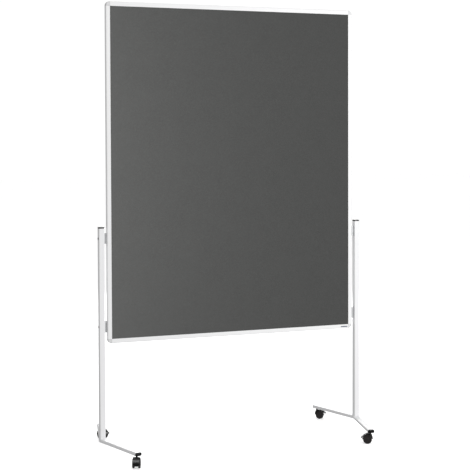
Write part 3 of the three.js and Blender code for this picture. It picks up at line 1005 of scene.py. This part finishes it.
def pedal_solid():
    """A broad foot lever with grip ribs, on an arm and a knuckle that turn about the pin."""
    tip, heel = (31.2, 8.6), (11.3, 23.3)
    points = [heel, (12.2, 19.2), (16.9, 14.2), (19.4, 9.6), (23.6, 9.6), (28.6, 5.4),
              (30.8, 6.4), tip]
    under = fillet(points, [0, 0.8, 1.4, 0.7, 1.6, 0.9, 0.9, 0], 4)
    along = Vector(heel) - Vector(tip)
    outward = Vector((along.y, -along.x)).normalized()
    top = []
    samples = 72
    for s in range(1, samples):
        share = s / samples
        ribbed = PEDAL_RIBBED[0] < share < PEDAL_RIBBED[1]
        wave = max(0, math.sin(share * 2 * math.pi * PEDAL_RIBS - 0.6)) if ribbed else 0
        hollow = PEDAL_HOLLOW * math.sin(math.pi * share)
        top.append(Vector(tip) + along * share + outward * (PEDAL_RIB * wave - hollow))
    plate = across([under + top], PEDAL_WIDTH)
    arm = across([[(8.4, 13.6), (13.6, 11.4), (18, 16), (13, 20)]], PEDAL_ARM_WIDTH)
    knuckle = across([circle(3.2, 32, PEDAL_PIVOT)], PEDAL_ARM_WIDTH)
    lever = moulded(together(plate, arm, knuckle), voxel=0.36, rounds=3, keep=0.4)
    hole = across([circle(PEDAL_PIN + BORE_PLAY, 24, PEDAL_PIVOT)], PEDAL_ARM_WIDTH + 2)
    return combined("DIFFERENCE", lever, hole)


def wheel_solid():
    """A dished disc in a rounded tread, with its inner face at Z = 0 and its outer face up."""
    r, w = WHEEL_RADIUS, WHEEL_WIDTH
    bore = AXLE_RADIUS + BORE_PLAY
    return lathe([
        (0, w - 2), (bore, w - 2), (bore, 0.2), (bore + 0.2, 0), (4.8, 0), (5, 0.2), (5.4, 2.5),
        (r - 4, 2.5), (r - 3.2, 2.2), (r - 3, 0.5), (r - 2.8, 0.3), (r - 1.3, 0.3),
        (r - 0.6, 0.7), (r - 0.15, 1.5), (r, 2.4), (r, w - 2.6), (r - 0.15, w - 1.6),
        (r - 0.7, w - 0.6), (r - 1.6, w - 0.1), (r - 2.2, w), (r - 2.7, w - 0.05),
        (r - 2.95, w - 0.45), (r - 3.2, w - 0.5), (r - 3.5, w - 0.3), (r - 5, w - 0.45),
        (9, w - 1.1), (7.6, w - 1.15), (7.2, w - 0.9), (6.8, w - 0.35), (6.3, w - 0.1),
        (5.2, w), (3, w), (0, w),
    ], 64)


def stem_solid(length):
    """The lower end is at Z = 0. A thrust flange stops it under the leg."""
    r = STEM_RADIUS
    flange = STEM_FLANGE
    return lathe([
        (0, 0), (r - 0.6, 0), (r, 0.6), (r, flange - 2.4), (r + 0.4, flange - 2.1),
        (5.5, flange - 2.1), (5.8, flange - 1.8), (5.8, flange - 0.3), (5.5, flange),
        (r + 0.2, flange), (r, flange + 0.2), (r, length - 5), (r - 0.5, length - 4.6),
        (r - 0.5, length - 3.4), (r, length - 3), (r, length - 1), (r - 1, length), (0, length),
    ], 40)


def axle_solid():
    r, end = AXLE_RADIUS, AXLE_LENGTH / 2
    return lathe([(0, -end), (r - 0.4, -end), (r, -end + 0.4), (r, end - 0.4), (r - 0.4, end),
                  (0, end)], 32)


def copy_of(mesh):
    bm = bmesh.new()
    bm.from_mesh(mesh)
    return bm


def kept(bm, name):
    mesh = bpy.data.meshes.new(name)
    bm.to_mesh(mesh)
    bm.free()
    return mesh


def add_caster(name, shapes):
    """Adds one caster, and gives back its glossy pieces."""
    spin = joint(f"{name}_wheel_a_spin")
    wheel_axis = Vector(spin["axis"])
    trail = wheel_axis.cross(UP)
    axle = middle(f"{name}_axle")
    place = axes(axle, trail, wheel_axis, UP)
    caster = f"{name}_caster"

    stem = f"{name}_stem"
    low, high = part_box(stem)
    foot = axes((middle(stem).x, middle(stem).y, low.z), trail, wheel_axis, UP)
    piece(stem, stem_solid((high.z - low.z) / MM), foot, BLACKENED, FIXED)

    housing = piece(f"{name}_housing", copy_of(shapes["housing"]), place, CASTER_PLASTIC, caster,
                    smooth=50)
    pedal = piece(f"{name}_pedal", copy_of(shapes["pedal"]), place, CASTER_PLASTIC,
                  f"{name}_pedal", smooth=50)
    piece(f"{name}_axle", turned(axle_solid(), 90, "X"), place, STEEL, caster)
    for letter, turn, offset in (("a", -90, 1), ("b", 90, -1)):
        wheel = moved(turned(wheel_solid(), turn, "X"), 0, offset * WHEEL_GAP / 2, 0)
        piece(f"{name}_wheel_{letter}", wheel, place, WHEEL_PLASTIC, f"{name}_wheel_{letter}")
    return [housing, pedal]


def add_legs_and_casters():
    shapes = {"housing": kept(housing_solid(), "housing"), "pedal": kept(pedal_solid(), "pedal")}
    glossy = []
    for name in ("front_left", "front_right", "rear_left", "rear_right"):
        add_leg(name)
        add_leg_cap(name)
        glossy += add_caster(name, shapes)
    for mesh in shapes.values():
        bpy.data.meshes.remove(mesh)
    return glossy


# ---- studio ---------------------------------------------------------------------------------

def add_camera():
    """A long lens at chest height, from 22 degrees to the left of square on."""
    yaw, pitch, roll = (math.radians(a) for a in (21.71, 1.86, -0.19))
    ahead = Vector((math.sin(yaw) * math.cos(pitch), math.cos(yaw) * math.cos(pitch),
                    -math.sin(pitch)))
    level_right = Vector((math.cos(yaw), -math.sin(yaw), 0))
    level_up = level_right.cross(ahead)
    right = level_right * math.cos(roll) + level_up * math.sin(roll)
    above = level_up * math.cos(roll) - level_right * math.sin(roll)
    view = bpy.data.cameras.new("view")
    view.sensor_width = 36
    view.lens = 96.91
    view.shift_x = 0.0024
    view.shift_y = -0.1124
    view.clip_end = 200
    camera = bpy.data.objects.new("camera", view)
    eye = Vector((-2.1297, -5.3423, 1.3743))
    turn = Matrix((right, above, -ahead)).transposed().to_4x4()
    camera.matrix_world = Matrix.Translation(eye) @ turn
    bpy.context.scene.collection.objects.link(camera)
    bpy.context.scene.camera = camera


def add_floor():
    bm = bmesh.new()
    bmesh.ops.create_grid(bm, x_segments=8, y_segments=8, size=40)
    mesh = bpy.data.meshes.new("floor")
    bm.to_mesh(mesh)
    bm.free()
    floor_paint = Paint("studio_floor", 0.8, Specular_IOR_Level=0.1, Emission_Strength=0.42)
    floor_paint.set(floor_paint.shader, "Emission Color", (1, 1, 1, 1))
    cloud = floor_paint.noise(1.5, 2)
    floor_paint.colour(floor_paint.blend(cloud, (0.93, 0.93, 0.93), (0.95, 0.95, 0.95)))
    mesh.materials.append(floor_paint.material)
    floor = bpy.data.objects.new("floor", mesh)
    floor.visible_diffuse = False
    floor.visible_glossy = False
    bpy.context.scene.collection.objects.link(floor)


def add_softbox(name, position, target, size, power):
    light = bpy.data.lights.new(name, "AREA")
    light.shape = "RECTANGLE"
    light.size, light.size_y = size
    light.energy = power
    lamp = bpy.data.objects.new(name, light)
    lamp.location = position
    aim = Vector(target) - Vector(position)
    lamp.rotation_euler = aim.to_track_quat("-Z", "Y").to_euler()
    bpy.context.scene.collection.objects.link(lamp)
    return lamp


def add_surroundings(seen, left, right, reflected):
    """White all round: bright as the backdrop, dim in reflections.

    As a light it is weaker on the left than on the right.
    """
    world = bpy.data.worlds.new("studio")
    bpy.context.scene.world = world
    world.use_nodes = True
    nodes, links = world.node_tree.nodes, world.node_tree.links
    background = nodes["Background"]
    background.inputs["Color"].default_value = (1, 1, 1, 1)
    rays = nodes.new("ShaderNodeLightPath")
    way = nodes.new("ShaderNodeSeparateXYZ")
    links.new(nodes.new("ShaderNodeTexCoord").outputs["Generated"], way.inputs[0])
    sideways = nodes.new("ShaderNodeMapRange")
    links.new(way.outputs["X"], sideways.inputs["Value"])
    for socket, value in (("From Min", -1), ("To Min", left), ("To Max", right)):
        sideways.inputs[socket].default_value = value
    level = sideways.outputs["Result"]
    for kind, value in (("Is Glossy Ray", reflected), ("Is Camera Ray", seen)):
        step = nodes.new("ShaderNodeMix")
        links.new(rays.outputs[kind], step.inputs[0])
        links.new(level, step.inputs[2])
        step.inputs[3].default_value = value
        level = step.outputs[0]
    links.new(level, background.inputs["Strength"])


def only_on(lamp, things):
    """The lamp lights these pieces and nothing else."""
    lit = bpy.data.collections.new(f"lit_by_{lamp.name}")
    for thing in things:
        lit.objects.link(thing)
    lamp.light_linking.receiver_collection = lit


def add_studio(felts, glossy):
    bpy.context.scene.view_settings.view_transform = "Standard"
    add_camera()
    add_floor()
    add_surroundings(seen=1.03, left=0.54, right=0.74, reflected=0.2)
    add_softbox("key", (3.2, -4.6, 1.8), (0, 0, 1.0), (2.4, 2.4), 166)
    add_softbox("overhead", (0.2, -0.6, 4.8), (0, 0, 0.6), (3.0, 3.0), 20)
    add_softbox("behind", (2.0, 5.2, 2.2), (0, 0, 1.2), (2.4, 2.4), 150)
    rake = add_softbox("rake_on_felt", (-1.5, -0.8, 1.2), (-0.5, 0, 1.2), (0.4, 2.6), 47)
    only_on(rake, felts)
    glint = add_softbox("glint_on_casters", (0, 1.3, 4.4), (0, 0, 0), (3.6, 3.4), 170)
    only_on(glint, glossy)


felts = add_board()
add_stands()
glossy = add_legs_and_casters()
add_studio(felts, glossy)
